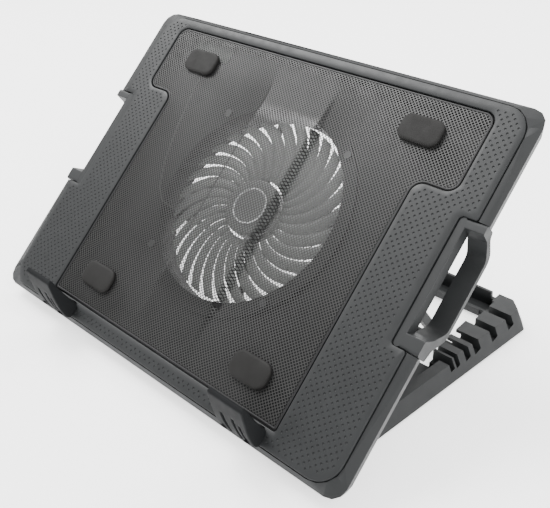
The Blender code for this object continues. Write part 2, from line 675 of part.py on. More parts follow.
def make_base():
    """Make the base frame: sloping walls, open middle, racks, back trough and hinge lugs."""
    base = loft_walls("base_frame", base_outline(0), BASE_BOTTOM, base_outline(7.5 * MM), 0,
                      grey_plastic(), base_origin)
    far = 250 * MM
    opening = [(-RACK_INNER, RACK_FRONT - 1 * MM, 0), (-150 * MM, RACK_FRONT - 1 * MM, 0),
               (-150 * MM, 75 * MM, 6 * MM), (-98 * MM, 75 * MM, 6 * MM),
               (-98 * MM, 27 * MM, 20 * MM)]
    front = opening + [(-x, y, radius) for x, y, radius in reversed(opening)]
    through = rounded(front + [(RACK_INNER, 198 * MM, 2 * MM), (-RACK_INNER, 198 * MM, 2 * MM)])
    cut(base, plate("base_opening", [through], -30 * MM, 30 * MM, None, base_origin))
    low_plate = [(x, y) for x, y in box_outline(-150 * MM, 150 * MM, -30 * MM, RACK_FRONT)]
    cut(base, plate("front_relief", [low_plate], PLATE_TOP, 30 * MM, None, base_origin))
    for side, sign in (("left", -1), ("right", 1)):
        recess = [(sign * 149 * MM, -30 * MM), (sign * 149 * MM, RACK_FRONT),
                  (sign * 166 * MM, RACK_FRONT), (sign * 152 * MM, -30 * MM)]
        cut(base, plate(f"front_recess_{side}", [recess], PLATE_TOP, 30 * MM, None, base_origin))
        rail = [(sign * 140 * MM, -30 * MM), (sign * 140 * MM, RACK_FRONT),
                (sign * 200 * MM, RACK_FRONT), (sign * 200 * MM, -30 * MM)]
        cut(base, plate(f"rail_drop_{side}", [rail], RAIL_TOP, 30 * MM, None, base_origin))
        make_rack_cuts(base, side, sign, far)
    trough = box_outline(-(RACK_INNER + 1 * MM), RACK_INNER + 1 * MM, 201.5 * MM, 213.5 * MM)
    cut(base, plate("back_trough", [trough], PLATE_TOP, 30 * MM, None, base_origin))
    lip = box_outline(-RACK_INNER, RACK_INNER, 190 * MM, 202 * MM)
    cut(base, plate("front_lip_drop", [lip], GROOVE_FLOOR, 30 * MM, None, base_origin))
    make_base_lugs(base)


def make_rack_cuts(base, side, sign, far):
    """Cut one rack's grooves, its front pocket and the slot for the prop's end peg."""
    grooves = [(146 * MM, 153.5 * MM), (167.5 * MM, 175 * MM), (188.5 * MM, 196 * MM),
               (135 * MM, 141 * MM), (123.5 * MM, 128 * MM), (RACK_FRONT, 121.5 * MM)]
    for index, (front, back) in enumerate(grooves):
        end = half_width(front) - 3.5 * MM
        outline = box_outline(*sorted((sign * (RACK_INNER - 5 * MM), sign * end)), front, back)
        cut(base, plate(f"groove_{side}_{index}", [outline], GROOVE_FLOOR, 30 * MM, None,
                        base_origin))
    slot = box_outline(*sorted((sign * (RACK_INNER - 5 * MM), sign * 162 * MM)), 130 * MM, 199 * MM)
    cut(base, plate(f"peg_slot_{side}", [slot], PLATE_TOP, -3 * MM, None, base_origin))
    mouth = box_outline(*sorted((sign * (RACK_INNER - 5 * MM), sign * 162 * MM)), 172 * MM, 204 * MM)
    cut(base, plate(f"peg_mouth_{side}", [mouth], -9 * MM, 30 * MM, None, base_origin))
    notch = box_outline(*sorted((sign * 154 * MM, sign * 160 * MM)), 200 * MM, far)
    cut(base, plate(f"rear_notch_{side}", [notch], -6 * MM, 30 * MM, None, base_origin))


def base_lug_spans():
    """Return the x spans of the base's hinge lugs, one each side of a tray lug."""
    right = [(119 * MM, 129.5 * MM), (142.5 * MM, 153 * MM)]
    return right + [(-b, -a) for a, b in right]


def make_base_lugs(base):
    """Join the hinge lugs to the base, bore them, and make the two hinge pins."""
    for index, (left, right) in enumerate(base_lug_spans()):
        outline = rounded([(-7 * MM, -14.5 * MM, 0), (10 * MM, -14.5 * MM, 0),
                           (7 * MM, 7 * MM, 6.5 * MM), (-7 * MM, 7 * MM, 6.5 * MM)])
        join(base, profile(f"base_lug_{index}", [outline], left, right, None, base_origin))
    cut(base, rod("base_bore", 3.3 * MM, (-175 * MM, 0, 0), (175 * MM, 0, 0), None, base_origin))
    for side, sign in (("left", -1), ("right", 1)):
        rod(f"hinge_pin_{side}", 3 * MM, (sign * 119 * MM, 0, 0), (sign * 153 * MM, 0, 0),
            bright_steel(), base_origin)


def make_feet():
    """Make the four rubber feet under the base."""
    places = {"front": (140 * MM, 8 * MM), "rear": (172 * MM, 208 * MM)}
    for row, (x, y) in places.items():
        for side, sign in (("left", -1), ("right", 1)):
            rod(f"base_foot_{row}_{side}", 8 * MM, (sign * x, y, -HINGE_HEIGHT),
                (sign * x, y, BASE_BOTTOM - GAP), pad_rubber(), base_origin, segments=20)


make_tray_shell()
make_top_frame()
make_mesh_panel()
make_pads()
make_handles()
top_of_flange = make_fan_housing()
make_rotor()
make_motor()
make_screws(top_of_flange)
make_usb_hub()
make_stops()
make_prop()
make_base()
make_feet()
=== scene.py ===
"""Looks of the laptop cooling pad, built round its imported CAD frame.

Pieces of the tray are drawn in millimetres in the tray's own plane: x to the user's right,
y up the slope from the mesh panel's front edge, z out of the tray's top.
"""
import json
import math

import bmesh
import bpy
from mathutils import Matrix, Vector
from mathutils.geometry import delaunay_2d_cdt


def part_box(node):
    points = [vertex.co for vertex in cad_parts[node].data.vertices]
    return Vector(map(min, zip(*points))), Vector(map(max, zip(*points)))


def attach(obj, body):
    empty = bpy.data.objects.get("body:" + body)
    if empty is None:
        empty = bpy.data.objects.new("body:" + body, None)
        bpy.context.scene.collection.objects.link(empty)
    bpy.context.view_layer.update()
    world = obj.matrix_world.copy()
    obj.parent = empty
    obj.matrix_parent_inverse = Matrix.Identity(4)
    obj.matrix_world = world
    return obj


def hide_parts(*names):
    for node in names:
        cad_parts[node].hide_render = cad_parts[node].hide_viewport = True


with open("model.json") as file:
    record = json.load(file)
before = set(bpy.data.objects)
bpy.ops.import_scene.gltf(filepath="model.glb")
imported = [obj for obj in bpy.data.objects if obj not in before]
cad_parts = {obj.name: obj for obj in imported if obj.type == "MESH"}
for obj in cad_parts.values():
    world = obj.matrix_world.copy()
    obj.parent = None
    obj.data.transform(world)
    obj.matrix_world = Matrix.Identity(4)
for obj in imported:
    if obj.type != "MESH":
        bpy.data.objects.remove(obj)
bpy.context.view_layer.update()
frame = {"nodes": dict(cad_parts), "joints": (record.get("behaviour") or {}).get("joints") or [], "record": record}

MM = 0.001
SHARP = math.radians(35)         # edges turning more than this are rounded
JOINTS = {joint["name"]: joint for joint in frame["joints"]}
BODY_OF = {node: body for body, nodes in frame["record"]["behaviour"]["bodies"].items()
           for node in nodes}
SLOT_OF = {entry["node"]: entry["material_slot"] for entry in frame["record"]["subparts"]}

# Frames of reference
HINGE = Vector(JOINTS["tray_tilt"]["pos_m"])
HINGE_IN_TRAY = Vector((0, 14, -24))
FAN_NORMAL = Vector(JOINTS["fan_spin"]["axis"])
TILT = math.atan2(-FAN_NORMAL.y, FAN_NORMAL.z)
SCALE = Matrix.Scale(MM, 4)
TRAY = (Matrix.Translation(HINGE) @ Matrix.Rotation(TILT, 4, "X") @ SCALE
        @ Matrix.Translation(-HINGE_IN_TRAY))

# Tray, millimetres in the tray's plane
TRAY_HALF, TRAY_FRONT, TRAY_BACK, TRAY_BOTTOM = 192.8, -17.6, 272.8, -14.0
BORDER_TOP, BORDER_DROP, RIM_TAPER = -1.2, 2.8, 2.5
FRAME_HALF, FRAME_FRONT, FRAME_BACK = 185.0, -14.0, 269.0
STEP_HALF, STEP_FRONT, STEP_BACK = 172.5, 88.5, 184.5
MESH_WIDE, MESH_NARROW, MESH_STEP, MESH_BACK = 161.0, 129.3, 197.3, 260.1
SEAM = 0.5                       # half of each dark gap line
RIM_HALF, RIM_FRONT, RIM_BACK = TRAY_HALF - 6.3, TRAY_FRONT + 2.1, TRAY_BACK - 2.3
EDGE_FRONT, EDGE_BACK, EDGE_LOW = TRAY_FRONT + 2.8, TRAY_BACK - 3.0, -9.0
USB_LEFT, USB_RIGHT = -170.0, -70.0
# the hollow under the panel, whose inner faces get the dark finish as painted shade
HOLLOW_LOW, HOLLOW_HIGH = -13.5, -2.0
HOLLOW_HALF, HOLLOW_BACK = 171.0, 258.5
HANDLE_GAP, HANDLE_LOW = 0.65, -15.5

# Dimples in the frame
DIMPLE_PITCH, DIMPLE_R, DIMPLE_DEPTH, DIMPLE_SIDES = 5.6, 0.95, 0.6, 8
DIMPLE_OUTER, DIMPLE_INNER = 4.8, 3.6      # clear border beside the frame's two edges
CELL = 2.0                                 # grid in which a place's dimple is looked up

# Perforated panel
MESH_Z = -0.9
HOLE_CELL, HOLE_SHARE = 1.5, 0.68
BAY_RISE, TROUGH_DEPTH = 2.2, 3.4

# Rubber pads
PAD_LONG, PAD_WIDE, PAD_CORNER = 17.5, 10.5, 7.8

# Fan
FAN_Y, FAN_TIP, FAN_HUB, BLADES = 136.0, 80.0, 24.0, 30
BLADE_ROOT, BLADE_SWEEP = 33.0, math.radians(27)
BLADE_HIGH, BLADE_LOW, BLADE_THICK, BLADE_CROWN = -23.4, -24.6, 1.0, 1.1
BLADE_PITCH = 2 * math.pi / BLADES
BLADE_STEPS, BLADE_CHORDS = 9, 4
HUB_TOP, HUB_SIDES = -16.5, 64

# Stops, millimetres round the stop's own hinge
STOP_WIDTH, STOP_TOP, STOP_LOW, STOP_COLUMNS = 33.0, 35.2, -9.0, 66
EAR_OFFSET, EAR_SLOT, EAR_TOP = 11.0, 2.0, 5.5   # two slots in which the tray's ears stand
SLOTS = ((-7.0, 22.0, 1.7), (3.5, 23.0, 1.3), (9.0, 20.0, 0.9))   # middle, top, half width
SLOT_DEPTH = 5.0

# Stage
FLOOR_REACH, FLOOR_DROP = 14.0, 0.0002
LIGHT_AIM, LIGHT_SIZE = (0, 0, 0.1), 1.2
CAMERA_LENS, SENSOR_WIDTH = 51.53, 36.0
CAMERA_PLACE = (0.3951, -0.3709, 0.4181)
CAMERA_TURN = (56.2815, 2.4101, 42.9608)


# ---------------------------------------------------------------- outlines

def rounded(corners, steps=6):
    """Return a closed outline with an arc at each corner (x, y, radius)."""
    points = []
    count = len(corners)
    for index, (x, y, radius) in enumerate(corners):
        here = Vector((x, y))
        if radius <= 0:
            points.append(here)
            continue
        before = (Vector(corners[index - 1][:2]) - here).normalized()
        after = (Vector(corners[(index + 1) % count][:2]) - here).normalized()
        half = before.angle(after) / 2
        middle = here + (before + after).normalized() * (radius / math.sin(half))
        start = here + before * (radius / math.tan(half)) - middle
        end = here + after * (radius / math.tan(half)) - middle
        turn = start.angle_signed(end)
        for step in range(steps + 1):
            swing = Matrix.Rotation(-turn * step / steps, 2)
            points.append(middle + swing @ start)
    return points


def mirrored(right):
    """Return an outline's corners with the right half copied to the left."""
    return right + [(-x, y, radius) for x, y, radius in reversed(right)]


def frame_outline(grow=0.0):
    """Return the dotted frame's outer outline, stepped in beside each handle."""
    half, step = FRAME_HALF + grow, STEP_HALF + grow
    right = [(half, FRAME_FRONT - grow, 20 + grow), (half, STEP_FRONT + grow, 2),
             (step, STEP_FRONT + grow, 3), (step, STEP_BACK - grow, 3),
             (half, STEP_BACK - grow, 2), (half, FRAME_BACK + grow, 20 + grow)]
    return rounded(mirrored(right), 8)


def mesh_outline(grow=0.0):
    """Return the T-shaped outline of the mesh panel."""
    right = [(MESH_NARROW + grow, -grow, 2 + grow * 0.4),
             (MESH_NARROW + grow, MESH_STEP - grow, 9 - grow),
             (MESH_WIDE + grow, MESH_STEP - grow, 9 + grow),
             (MESH_WIDE + grow, MESH_BACK + grow, 9 + grow)]
    return rounded(mirrored(right), 8)


def circle(radius, count, centre=(0, 0)):
    """Return the corners of a regular polygon."""
    return [Vector((centre[0] + radius * math.cos(2 * math.pi * i / count),
                    centre[1] + radius * math.sin(2 * math.pi * i / count)))
            for i in range(count)]


def inside(point, outline):
    """Tell whether a point lies within an outline."""
    x, y = point
    found = False
    last = outline[-1]
    for here in outline:
        if (here.y > y) != (last.y > y):
            if x < (last.x - here.x) * (y - here.y) / (last.y - here.y) + here.x:
                found = not found
        last = here
    return found


def lift(outline, z):
    """Return an outline's points at one height."""
    return [(point.x, point.y, z) for point in outline]


def smooth_step(value, low, high):
    """Return 0 below low, 1 above high and an S curve between them."""
    share = min(1.0, max(0.0, (value - low) / (high - low)))
    return share * share * (3 - 2 * share)


# ---------------------------------------------------------------- materials

def shader(name):
    """Start a material and return it with its nodes, links and Principled shader."""
    made = bpy.data.materials.new(name)
    made.use_nodes = True
    nodes = made.node_tree.nodes
    return made, nodes, made.node_tree.links, nodes["Principled BSDF"]


def noise(nodes, links, places, scale, detail, stretch):
    """Add a noise texture in object space and return its value."""
    vector = places.outputs["Object"]
    if stretch:
        mapping = nodes.new("ShaderNodeMapping")
        mapping.inputs["Scale"].default_value = stretch
        links.new(vector, mapping.inputs["Vector"])
        vector = mapping.outputs["Vector"]
    texture = nodes.new("ShaderNodeTexNoise")
    texture.inputs["Scale"].default_value = scale
    texture.inputs["Detail"].default_value = detail
    links.new(vector, texture.inputs["Vector"])
    return texture.outputs["Fac"]


def ramp(nodes, links, value, low, high):
    """Spread a 0 to 1 value between two colours."""
    made = nodes.new("ShaderNodeValToRGB")
    made.color_ramp.elements[0].position = 0.3
    made.color_ramp.elements[0].color = (*low, 1)
    made.color_ramp.elements[1].position = 0.7
    made.color_ramp.elements[1].color = (*high, 1)
    links.new(value, made.inputs["Fac"])
    return made.outputs["Color"]


def spread(nodes, links, value, low, high):
    """Spread a 0 to 1 value between two numbers."""
    made = nodes.new("ShaderNodeMapRange")
    made.inputs["From Min"].default_value = 0.3
    made.inputs["From Max"].default_value = 0.7
    made.inputs["To Min"].default_value = low
    made.inputs["To Max"].default_value = high
    links.new(value, made.inputs["Value"])
    return made.outputs["Result"]


def moulded(name, colour, roughness, grain=2200.0, bump=0.12, cloud=0.10, metallic=0.0,
            stretch=None, specular=0.5):
    """Return a moulded or painted finish: fine grain, soft clouding and uneven gloss."""
    made, nodes, links, principled = shader(name)
    places = nodes.new("ShaderNodeTexCoord")
    clouds = noise(nodes, links, places, 38.0, 4.0, stretch)
    fine = noise(nodes, links, places, grain, 2.0, stretch)
    low = tuple(channel * (1 - cloud) for channel in colour)
    high = tuple(channel * (1 + cloud) for channel in colour)
    links.new(ramp(nodes, links, clouds, low, high), principled.inputs["Base Color"])
    gloss = noise(nodes, links, places, 120.0, 3.0, stretch)
    links.new(spread(nodes, links, gloss, roughness - 0.05, roughness + 0.05),
              principled.inputs["Roughness"])
    relief = nodes.new("ShaderNodeBump")
    relief.inputs["Strength"].default_value = bump
    relief.inputs["Distance"].default_value = 0.0002
    links.new(fine, relief.inputs["Height"])
    links.new(relief.outputs["Normal"], principled.inputs["Normal"])
    principled.inputs["Metallic"].default_value = metallic
    principled.inputs["Specular IOR Level"].default_value = specular
    return made


def translucent(name, colour, roughness, through):
    """Return a grey plastic that lets some light through, for the fan's blades."""
    made = moulded(name, colour, roughness, 1500.0, 0.05, 0.06)
    nodes, links = made.node_tree.nodes, made.node_tree.links
    principled, out = nodes["Principled BSDF"], nodes["Material Output"]
    glow = nodes.new("ShaderNodeBsdfTranslucent")
    glow.inputs["Color"].default_value = (*[min(1.0, c * 1.6) for c in colour], 1)
    mix = nodes.new("ShaderNodeMixShader")
    mix.inputs["Fac"].default_value = through
    links.new(principled.outputs["BSDF"], mix.inputs[1])
    links.new(glow.outputs["BSDF"], mix.inputs[2])
    links.new(mix.outputs["Shader"], out.inputs["Surface"])
    return made


SHELL = moulded("shell_plastic", (0.0130, 0.0140, 0.0145), 0.52, specular=0.3)
FRAME = moulded("frame_plastic", (0.0130, 0.0140, 0.0145), 0.48, specular=0.3)
STOP = moulded("stop_plastic", (0.0075, 0.008, 0.0085), 0.68, specular=0.08)
HOUSING = moulded("housing_plastic", (0.004, 0.004, 0.0045), 0.55, specular=0.2)
RIM = moulded("panel_rim_paint", (0.010, 0.010, 0.0105), 0.45, specular=0.25)
MESH = moulded("mesh_paint", (0.026, 0.026, 0.0255), 0.42, 900.0, 0.15, 0.08, 0.2, None, 0.4)
RUBBER = moulded("pad_rubber", (0.0075, 0.0072, 0.0068), 0.72, 1400.0, 0.35, 0.15, specular=0.25)
BLADE = translucent("blade_plastic", (0.20, 0.205, 0.20), 0.35, 0.55)
HUB = moulded("hub_plastic", (0.05, 0.052, 0.053), 0.38, 1500.0, 0.05, specular=0.3)
HUB_RING = moulded("hub_ring_plastic", (0.65, 0.66, 0.66), 0.35, 1500.0, 0.05)
SCREW = moulded("dark_screw_steel", (0.05, 0.05, 0.052), 0.4, 1500.0, 0.08, 0.1, 0.8)
STEEL = moulded("bright_steel", (0.62, 0.62, 0.64), 0.28, 1800.0, 0.06, 0.05, 1.0, (1, 6, 6))
COPPER = moulded("copper_winding", (0.62, 0.30, 0.16), 0.35, 900.0, 0.3, 0.1, 1.0, (1, 1, 8))
BOARD = moulded("board_green", (0.004, 0.012, 0.006), 0.45, 700.0, 0.1, 0.2, specular=0.2)
LEAD = moulded("lead_sleeve", (0.018, 0.018, 0.018), 0.5, 1300.0, 0.1)
TONGUE = moulded("socket_tongue", (0.72, 0.72, 0.70), 0.4, 900.0, 0.05)

FINISH = {"shell_grey": SHELL, "dark_plastic": HOUSING, "mesh_steel": MESH, "pad_rubber": RUBBER,
          "fan_plastic": HUB, "bright_steel": STEEL, "copper_winding": COPPER,
          "board_green": BOARD}


def finish_cad_nodes():
    """Give every CAD node the detailed finish of its slot."""
    for name, node in frame["nodes"].items():
        finish = FINISH[SLOT_OF[name]]
        if name == "fan_lead":
            finish = LEAD
        if "_screw_" in name:
            finish = SCREW
        if name.startswith("stop_ear"):
            finish = STOP
        node.data.materials.clear()
        node.data.materials.append(finish)


# ---------------------------------------------------------------- making pieces

def add_piece(name, points, faces, finish, body, slot, replaced=(), matrix=TRAY):
    """Add a mesh piece given in millimetres, ride it on a body and return it."""
    mesh = bpy.data.meshes.new(name)
    mesh.from_pydata([matrix @ Vector(point) for point in points], [], faces)
    work = bmesh.new()
    work.from_mesh(mesh)
    bmesh.ops.remove_doubles(work, verts=work.verts, dist=0.000002)
    bmesh.ops.recalc_face_normals(work, faces=work.faces)
    work.to_mesh(mesh)
    work.free()
    mesh.materials.append(finish)
    mesh.polygons.foreach_set("use_smooth", [True] * len(mesh.polygons))
    piece = bpy.data.objects.new(name, mesh)
    bpy.context.scene.collection.objects.link(piece)
    settle(piece, body, replaced)
    return piece


def add_even(*parts):
    """Add a mesh piece whose flat faces are shaded flat."""
    piece = add_piece(*parts)
    piece.modifiers.new("flat_faces", "WEIGHTED_NORMAL")
    return piece


def settle(piece, body, replaced):
    """Ride a piece on its body and hide what it stands for."""
    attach(piece, body)
    if replaced:
        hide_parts(*replaced)


def loft(rings, cap_first=True, cap_last=True, closed=False):
    """Return the points and faces of a surface through rings of equal count."""
    points = [point for ring in rings for point in ring]
    count = len(rings[0])
    faces = []
    pairs = list(range(len(rings) - 1)) + ([len(rings) - 1] if closed else [])
    for ring in pairs:
        low, high = ring * count, ((ring + 1) % len(rings)) * count
        for index in range(count):
            after = (index + 1) % count
            faces.append((low + index, low + after, high + after, high + index))
    if cap_first and not closed:
        faces.append(tuple(range(count - 1, -1, -1)))
    if cap_last and not closed:
        faces.append(tuple(range((len(rings) - 1) * count, len(rings) * count)))
    return points, faces


def soften(piece, width):
    """Round a piece's edges and keep its flat faces flat."""
    bevel = piece.modifiers.new("rounded_edges", "BEVEL")
    bevel.width = width * MM
    bevel.segments = 2
    bevel.limit_method = "ANGLE"
    bevel.angle_limit = SHARP
    bevel.use_clamp_overlap = True
    bevel.harden_normals = False
    weighted = piece.modifiers.new("flat_faces", "WEIGHTED_NORMAL")
    weighted.keep_sharp = True


def weigh_edges(piece, where):
    """Round only the sharp edges that lie where a test on a place says."""
    mesh = piece.data
    sharp = mesh.attributes["sharp_edge"].data
    weights = mesh.attributes.new("bevel_weight_edge", "FLOAT", "EDGE")
    for edge in mesh.edges:
        a, b = (mesh.vertices[index].co for index in edge.vertices)
        if sharp[edge.index].value and where((a + b) / 2):
            weights.data[edge.index].value = 1.0
    piece.modifiers["rounded_edges"].limit_method = "WEIGHT"


def rounded_copy(node, finish, width, shape=None, where=None):
    """Copy a CAD node, reshape its points if told how, and round its sharp edges."""
    mesh = frame["nodes"][node].data.copy()
    piece = bpy.data.objects.new(f"{node}_skin", mesh)
    bpy.context.scene.collection.objects.link(piece)
    work = bmesh.new()
    work.from_mesh(mesh)
    bmesh.ops.remove_doubles(work, verts=work.verts, dist=0.000005)
    bmesh.ops.dissolve_limit(work, angle_limit=math.radians(1.0), verts=work.verts,
                             edges=work.edges)
    if shape:
        many_sided = [face for face in work.faces if len(face.verts) > 4]
        bmesh.ops.triangulate(work, faces=many_sided)
        shape(work)
    bmesh.ops.recalc_face_normals(work, faces=work.faces)
    work.to_mesh(mesh)
    work.free()
    mesh.materials.clear()
    mesh.materials.append(finish)
    mesh.polygons.foreach_set("use_smooth", [True] * len(mesh.polygons))
    mesh.set_sharp_from_angle(angle=SHARP)
    soften(piece, width)
    if where:
        weigh_edges(piece, where)
    settle(piece, BODY_OF[node], [node])
    return piece


# ---------------------------------------------------------------- tray

def slope_border(work):
    """Drop the tray's outer top edge and draw its bottom edge inwards."""
    back = TRAY.inverted()
    for vertex in work.verts:
        x, y, z = back @ vertex.co
        if not (abs(x) > RIM_HALF or y < RIM_FRONT or y > RIM_BACK):
            continue
        if abs(z - BORDER_TOP) < 0.1:
            z -= BORDER_DROP
        elif abs(z - TRAY_BOTTOM) < 0.1:
            if abs(x) > 180:
                x -= math.copysign(RIM_TAPER, x)
            y += RIM_TAPER if y < 0 else (-RIM_TAPER if y > 260 else 0)
        vertex.co = TRAY @ Vector((x, y, z))


def on_rim(place):
    """Tell whether a place is high on the tray's outer rim, away from the USB opening."""
    x, y, z = TRAY.inverted() @ place
    if USB_LEFT < x < USB_RIGHT and y > 0:
        return False
    return z > EDGE_LOW and (abs(x) > RIM_HALF or y < EDGE_FRONT or y > EDGE_BACK)


def paint_hollow_shade(piece):
    """Give the tray's hidden inner faces the dark housing finish as painted shade, for the shade inside the hollow
    under the panel.
    """
    piece.data.materials.append(HOUSING)
    back = TRAY.inverted()
    heights = [(back @ vertex.co).z for vertex in piece.data.vertices]
    for face in piece.data.polygons:
        x, y, z = back @ face.center
        low = all(HOLLOW_LOW < heights[index] < HOLLOW_HIGH for index in face.vertices)
        within = abs(x) < HOLLOW_HALF and FRAME_FRONT < y < HOLLOW_BACK
        if low or (within and HOLLOW_LOW < z < HOLLOW_HIGH):
            face.material_index = 1


def draw_ends_in(work):
    """Close the gaps between a handle's ends and the tray's notch."""
    back = TRAY.inverted()
    for vertex in work.verts:
        x, y, z = back @ vertex.co
        if z > HANDLE_LOW and y < STEP_FRONT + 2:
            y -= HANDLE_GAP
        elif z > HANDLE_LOW and y > STEP_BACK - 2:
            y += HANDLE_GAP
        vertex.co = TRAY @ Vector((x, y, z))


def dimple_places():
    """Return the centres of the dimples, in staggered rows clear of the frame's edges."""
    outer, inner = frame_outline(-DIMPLE_OUTER), mesh_outline(DIMPLE_INNER)
    places = []
    row = 0
    y = FRAME_FRONT + 5
    while y < FRAME_BACK:
        x = -FRAME_HALF + (DIMPLE_PITCH / 2 if row % 2 else 0)
        while x < FRAME_HALF:
            if inside((x, y), outer) and not inside((x, y), inner):
                places.append((x, y))
            x += DIMPLE_PITCH
        y += DIMPLE_PITCH / 2
        row += 1
    return places


def flat_top(outer, inner, places):
    """Return the points and faces between two outlines, with a hole at each dimple."""
    flat, constraints = [], []
    loops = [outer, inner] + [circle(DIMPLE_R, DIMPLE_SIDES, place) for place in places]
    for loop in loops:
        start = len(flat)
        flat.extend(loop)
        constraints.extend((start + i, start + (i + 1) % len(loop)) for i in range(len(loop)))
    found, _, triangles, *_ = delaunay_2d_cdt(flat, constraints, [], 0, 0.0001)
    cells = {}
    for place in places:
        cells.setdefault((round(place[0] / CELL), round(place[1] / CELL)), []).append(place)
    faces = []
    for face in triangles:
        middle = sum((found[index] for index in face), Vector((0, 0))) / len(face)
        column, row = round(middle.x / CELL), round(middle.y / CELL)
        near = [place for i in (-1, 0, 1) for j in (-1, 0, 1)
                for place in cells.get((column + i, row + j), [])]
        if any(inside(middle, circle(DIMPLE_R, DIMPLE_SIDES, place)) for place in near):
            continue
        if inside(middle, outer) and not inside(middle, inner):
            faces.append(tuple(face))
    return lift(found, 0.0), faces


def make_frame():
    """Make the dotted frame: rolled edges and a top face with real dimples."""
    edge = [(0.0, -2.4), (0.0, -0.6), (-0.2, -0.2), (-0.6, 0.0)]
    outer = [lift(frame_outline(grow - SEAM), z) for grow, z in edge]
    inner = [lift(mesh_outline(SEAM - grow), z) for grow, z in edge]
    places = dimple_places()
    parts = [loft(outer, False, False), loft(inner, False, False),
             flat_top([Vector(point[:2]) for point in outer[-1]],
                      [Vector(point[:2]) for point in inner[-1]], places)]
    for place in places:
        cup = [lift(circle(DIMPLE_R * share, DIMPLE_SIDES, place), -DIMPLE_DEPTH * deep)
               for share, deep in ((1, 0), (0.72, 0.75), (0.3, 1))]
        parts.append(loft(cup, False, True))
    points, faces = [], []
    for more, sides in parts:
        faces += [tuple(index + len(points) for index in face) for face in sides]
        points += more
    piece = add_piece("dotted_frame", points, faces, FRAME, "tray", "shell_grey", ["top_frame"])
    piece.data.set_sharp_from_angle(angle=math.radians(30))


def panel_height(x, y):
    """Return the mesh panel's height: a raised middle bay with a trough each side."""
    across = abs(x)
    raised = BAY_RISE * (1 - smooth_step(across, 29.5, 32.0))
    trough = -TROUGH_DEPTH * smooth_step(across, 30.0, 33.5) * (1 - smooth_step(across, 37.0, 88.0))
    raised *= smooth_step(y, 45.0, 60.0) * (1 - smooth_step(y, 203.0, 218.0))
    trough *= smooth_step(y, 8.0, 76.0) * (1 - smooth_step(y, 186.0, 250.0))
    return MESH_Z + raised + trough


def in_painted_fold_shade(x, y):
    """Tell whether a place is on one of the two folds beside the raised bay, whose cells get painted shade."""
    return (29.8 < x < 35.2 or -34.0 < x < -31.0) and 51.0 < y < 212.0


def make_panel():
    """Make the perforated panel, one diamond cell with a hole in it at a time."""
    limit = mesh_outline(-1.9)
    points, faces, dark = [], [], []
    corners = [(1, 0), (0, 1), (-1, 0), (0, -1)]
    rows = int(MESH_BACK / HOLE_CELL) + 1
    columns = int(MESH_WIDE / HOLE_CELL) + 1
    for row in range(rows):
        for column in range(-columns, columns + 1):
            if (row + column) % 2:
                continue
            x, y = column * HOLE_CELL, row * HOLE_CELL
            if not inside((x, y), limit):
                continue
            start = len(points)
            for reach in (HOLE_CELL, HOLE_CELL * HOLE_SHARE):
                for dx, dy in corners:
                    px, py = x + dx * reach, y + dy * reach
                    points.append((px, py, panel_height(px, py)))
            for index in range(4):
                after = (index + 1) % 4
                faces.append((start + index, start + after, start + 4 + after, start + 4 + index))
                # cells on the two folds are flagged for the dark finish: painted shade on the folds' steep walls
                dark.append(in_painted_fold_shade(x, y))
    panel = add_piece("perforated_panel", points, faces, MESH, "tray", "mesh_steel",
                      ["mesh_panel"])
    # the dark housing finish on the flagged fold cells is painted shade, not a different part
    panel.data.materials.append(HOUSING)
    panel.data.polygons.foreach_set("material_index", [int(flag) for flag in dark])
    rim = [(-1.6, -1.6), (-1.6, -0.9), (-1.3, -0.75), (-0.4, -0.75), (-0.1, -0.9), (0, -1.2),
           (0, -2.2)]
    rings = [lift(mesh_outline(grow - SEAM), z) for grow, z in rim]
    points, faces = loft(rings, closed=True)
    add_piece("panel_rim", points, faces, RIM, "tray", "mesh_steel")


def make_pads():
    """Make the four rubber pads with soft edges and a slight crown."""
    for row, x, y in (("rear", 114.5, 232.5), ("front", 88.5, 26.5)):
        for side, sign in (("left", -1), ("right", 1)):
            rings = []
            for inset, z in ((0, -0.3), (0, 1.7), (0.3, 2.4), (0.9, 2.85), (2.4, 3.0), (5.5, 3.08)):
                corners = [(sign * x + across * (PAD_LONG - inset), y + up * (PAD_WIDE - inset),
                            PAD_CORNER - inset)
                           for across, up in ((-1, -1), (1, -1), (1, 1), (-1, 1))]
                rings.append(lift(rounded(corners, 8), z))
            points, faces = loft(rings)
            node = f"rubber_pad_{row}_{side}"
            pad = add_piece(f"{node}_skin", points, faces, RUBBER, "tray", "pad_rubber", [node])


# ---------------------------------------------------------------- fan

def blade_edges(index, radius):
    """Return the angles at which a blade starts and ends at a radius."""
    if radius < BLADE_ROOT:
        return BLADE_PITCH * index + 0.01, BLADE_PITCH * (index + 1) - 0.01
    share = (radius - BLADE_ROOT) / (FAN_TIP - BLADE_ROOT)
    slot = BLADE_PITCH * (0.012 + 0.165 * share ** 2.6)
    middle = BLADE_PITCH * index + BLADE_SWEEP * share ** 1.3
    return middle + slot, middle + BLADE_PITCH - slot


def blade_layer(index, drop):
    """Return one face of a blade as rows of points from the hub to the tip."""
    layer = []
    root = FAN_HUB + 2
    for length in range(BLADE_STEPS + 1):
        radius = root + (FAN_TIP - root) * length / BLADE_STEPS
        start, end = blade_edges(index, radius)
        twist = smooth_step(radius, FAN_HUB, FAN_HUB + 16)
        for chord in range(BLADE_CHORDS + 1):
            across = chord / BLADE_CHORDS
            angle = start + (end - start) * across
            z = (BLADE_HIGH + BLADE_LOW) / 2 + BLADE_CROWN * math.sin(math.pi * across)
            z += (across - 0.5) * (BLADE_HIGH - BLADE_LOW) * twist
            layer.append((radius * math.cos(angle), radius * math.sin(angle), z - drop))
    return layer


